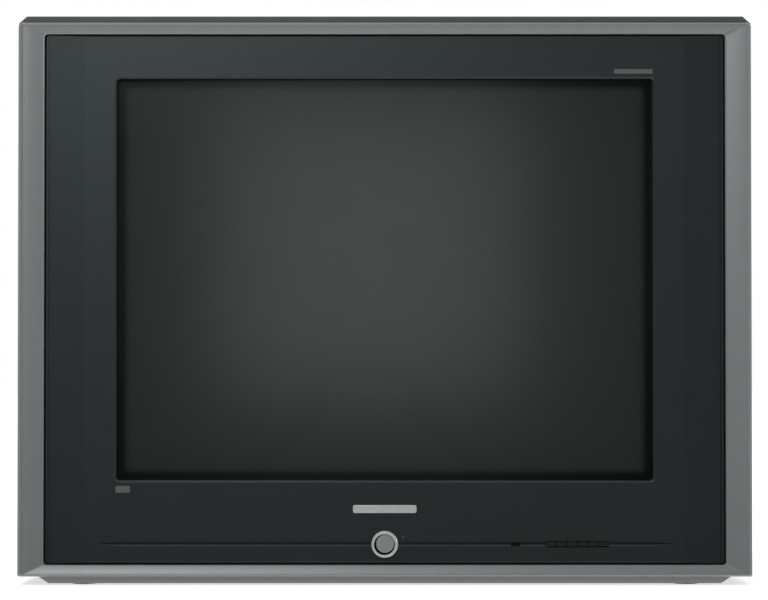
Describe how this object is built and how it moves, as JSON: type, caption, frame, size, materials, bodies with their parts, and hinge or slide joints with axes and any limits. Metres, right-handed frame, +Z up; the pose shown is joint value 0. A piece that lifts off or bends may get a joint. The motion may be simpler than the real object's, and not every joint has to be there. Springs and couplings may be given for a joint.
{
  "type": "cathode ray tube television receiver",
  "caption": "Flat-faced colour television with a picture tube, silver frame, dark panel, round power button, small keys and a deep vented rear cover.",
  "frame": {"origin": "on the floor under the middle of the whole set, at the feet's underside", "axes": "+X to the viewer's right, the screen faces -Y, +Z up"},
  "size_m": [0.74, 0.5, 0.574],
  "materials": {
    "silver_trim": "satin silver paint",
    "panel_black": "semi-gloss",
    "cabinet_grey": "fine textured",
    "cover_black": "coarse textured",
    "foot_rubber": "matte",
    "badge_silver": "brushed",
    "button_chrome": "polished",
    "button_silver": "satin silver paint",
    "key_silver": "satin grey paint",
    "ir_dark": "dark red tint",
    "led_clear": "clear, frosted",
    "board_brown": "paper laminate",
    "board_green": "solder mask",
    "switch_black": "moulded",
    "screen_glass": "polished, dark tinted",
    "funnel_glass": "graphite coated",
    "neck_glass": "clear",
    "base_plastic": "moulded",
    "band_steel": "rolled",
    "mask_steel": "blackened",
    "gun_steel": "satin",
    "cap_rubber": "smooth",
    "lead_red": "smooth",
    "coil_tape": "taped",
    "braid_copper": "tinned braid",
    "coil_copper": "enamelled wire",
    "former_white": "moulded",
    "ferrite": "sintered",
    "ring_black": "moulded ferrite",
    "ring_white": "moulded",
    "clamp_steel": "zinc plated",
    "chassis_plastic": "moulded",
    "flyback_epoxy": "potted",
    "knob_white": "moulded",
    "sink_aluminium": "extruded",
    "component_mixed": "sleeved",
    "can_tin": "tinned",
    "jack_black": "moulded",
    "gland_black": "moulded",
    "speaker_black": "black paint",
    "screw_zinc": "zinc plated",
    "screw_black": "black passivated"
  },
  "bodies": {
    "receiver": {"trim_frame": "silver_trim", "bezel_panel": "panel_black", "front_cabinet": "cabinet_grey", "rear_cover": "cover_black", "feet": "foot_rubber", "name_badge": "badge_silver", "power_button_ring": "button_chrome", "power_switch": "switch_black", "ir_window": "ir_dark", "standby_led": "led_clear", "control_board": "board_green", "crt_faceplate": "screen_glass", "crt_funnel": "funnel_glass", "crt_neck": "neck_glass", "crt_base": "base_plastic", "implosion_band": "band_steel", "crt_screws": "screw_zinc", "shadow_mask": "mask_steel", "mask_frame": "mask_steel", "inner_shield": "mask_steel", "electron_gun": "gun_steel", "anode_cap": "cap_rubber", "eht_lead": "lead_red", "degaussing_coil": "coil_tape", "ground_braid": "braid_copper", "horizontal_coils": "coil_copper", "yoke_former": "former_white", "vertical_coils": "coil_copper", "yoke_core": "ferrite", "yoke_clamp": "clamp_steel", "magnet_holder": "ring_white", "crt_socket": "base_plastic", "neck_board": "board_brown", "chassis_frame": "chassis_plastic", "main_board": "board_brown", "flyback_transformer": "flyback_epoxy", "heat_sinks": "sink_aluminium", "board_components": "component_mixed", "tuner": "can_tin", "av_jack_block": "jack_black", "cord_gland": "gland_black", "rear_cover_screws": "screw_black", "speaker_left": "speaker_black", "speaker_right": "speaker_black"},
    "power_button": {"power_button": "button_silver"},
    "key_source": {"key_source": "key_silver"},
    "key_menu": {"key_menu": "key_silver"},
    "key_volume_down": {"key_volume_down": "key_silver"},
    "key_volume_up": {"key_volume_up": "key_silver"},
    "key_channel_down": {"key_channel_down": "key_silver"},
    "key_channel_up": {"key_channel_up": "key_silver"},
    "focus_knob": {"focus_knob": "knob_white"},
    "screen_knob": {"screen_knob": "knob_white"},
    "purity_ring_front": {"purity_ring_front": "ring_black"},
    "purity_ring_rear": {"purity_ring_rear": "ring_black"},
    "four_pole_ring_front": {"four_pole_ring_front": "ring_black"},
    "four_pole_ring_rear": {"four_pole_ring_rear": "ring_black"},
    "six_pole_ring_front": {"six_pole_ring_front": "ring_black"},
    "six_pole_ring_rear": {"six_pole_ring_rear": "ring_black"},
    "magnet_lock_ring": {"magnet_lock_ring": "ring_white"}
  },
  "joints": [
    {"name": "power_button_press", "type": "slide", "parent": "receiver", "child": "power_button", "axis": [0, 1, 0], "range_m": [0, 0.004], "stiffness_N_per_m": 500, "springref_m": -0.002},
    {"name": "key_source_press", "type": "slide", "parent": "receiver", "child": "key_source", "axis": [0, 1, 0], "range_m": [0, 0.0008], "stiffness_N_per_m": 400, "springref_m": -0.001},
    {"name": "key_menu_press", "type": "slide", "parent": "receiver", "child": "key_menu", "axis": [0, 1, 0], "range_m": [0, 0.0008], "stiffness_N_per_m": 400, "springref_m": -0.001},
    {"name": "key_volume_down_press", "type": "slide", "parent": "receiver", "child": "key_volume_down", "axis": [0, 1, 0], "range_m": [0, 0.0008], "stiffness_N_per_m": 400, "springref_m": -0.001},
    {"name": "key_volume_up_press", "type": "slide", "parent": "receiver", "child": "key_volume_up", "axis": [0, 1, 0], "range_m": [0, 0.0008], "stiffness_N_per_m": 400, "springref_m": -0.001},
    {"name": "key_channel_down_press", "type": "slide", "parent": "receiver", "child": "key_channel_down", "axis": [0, 1, 0], "range_m": [0, 0.0008], "stiffness_N_per_m": 400, "springref_m": -0.001},
    {"name": "key_channel_up_press", "type": "slide", "parent": "receiver", "child": "key_channel_up", "axis": [0, 1, 0], "range_m": [0, 0.0008], "stiffness_N_per_m": 400, "springref_m": -0.001},
    {"name": "focus_knob_turn", "type": "hinge", "parent": "receiver", "child": "focus_knob", "pos_m": [0.085, 0.088, 0.08], "axis": [0, 1, 0], "range_deg": [-135, 135]},
    {"name": "screen_knob_turn", "type": "hinge", "parent": "receiver", "child": "screen_knob", "pos_m": [0.085, 0.088, 0.064], "axis": [0, 1, 0], "range_deg": [-135, 135]},
    {"name": "purity_ring_front_turn", "type": "hinge", "parent": "receiver", "child": "purity_ring_front", "pos_m": [0, 0.1012, 0.3076], "axis": [0, 1, 0], "continuous": true},
    {"name": "purity_ring_rear_turn", "type": "hinge", "parent": "receiver", "child": "purity_ring_rear", "pos_m": [0, 0.104, 0.3076], "axis": [0, 1, 0], "continuous": true},
    {"name": "four_pole_ring_front_turn", "type": "hinge", "parent": "receiver", "child": "four_pole_ring_front", "pos_m": [0, 0.1088, 0.3076], "axis": [0, 1, 0], "continuous": true},
    {"name": "four_pole_ring_rear_turn", "type": "hinge", "parent": "receiver", "child": "four_pole_ring_rear", "pos_m": [0, 0.1116, 0.3076], "axis": [0, 1, 0], "continuous": true},
    {"name": "six_pole_ring_front_turn", "type": "hinge", "parent": "receiver", "child": "six_pole_ring_front", "pos_m": [0, 0.1164, 0.3076], "axis": [0, 1, 0], "continuous": true},
    {"name": "six_pole_ring_rear_turn", "type": "hinge", "parent": "receiver", "child": "six_pole_ring_rear", "pos_m": [0, 0.1192, 0.3076], "axis": [0, 1, 0], "continuous": true},
    {"name": "magnet_lock_ring_turn", "type": "hinge", "parent": "receiver", "child": "magnet_lock_ring", "pos_m": [0, 0.1258, 0.3076], "axis": [0, 1, 0], "range_deg": [0, 40]}
  ]
}
